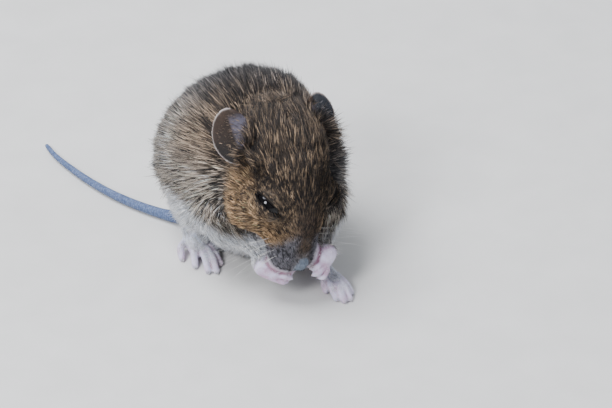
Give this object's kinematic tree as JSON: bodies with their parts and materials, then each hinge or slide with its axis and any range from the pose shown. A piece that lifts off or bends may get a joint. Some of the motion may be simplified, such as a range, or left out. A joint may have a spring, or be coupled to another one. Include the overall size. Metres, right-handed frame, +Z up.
{
  "type": "field mouse",
  "caption": "Young wood mouse as a life-size still model, crouching with an arched back, its head bent down to the forepaws at its mouth and its tail curved behind.",
  "frame": {"origin": "on the floor, on the flat under the belly that the mouse sits on", "axes": "-Y is the way the mouse looks, +X is its left side, +Z is up"},
  "size_m": [0.0356, 0.0552, 0.0301],
  "materials": {
    "coat": "short dense fur, brown with slate roots and dark tips",
    "eyeball": "wet black eye",
    "nose_pad": "bare blue-grey skin, slightly moist",
    "ear_skin": "thin brown-grey skin with fine hairs",
    "tail_skin": "ringed blue-grey skin with fine hairs",
    "foot_skin": "pale pink skin with fine white hairs"
  },
  "bodies": {
    "root": {"eye_right": "eyeball", "eye_left": "eyeball", "nose": "nose_pad", "head": "coat", "ear_right": "ear_skin", "ear_left": "ear_skin", "thigh_right": "coat", "thigh_left": "coat", "forelimb_right": "coat", "forelimb_left": "coat", "neck": "coat", "tail_tip": "tail_skin", "tail_middle": "tail_skin", "tail_base": "tail_skin", "trunk": "coat", "hind_foot_right": "foot_skin", "hind_foot_left": "foot_skin", "forepaw_right": "foot_skin", "forepaw_left": "foot_skin"}
  },
  "joints": []
}
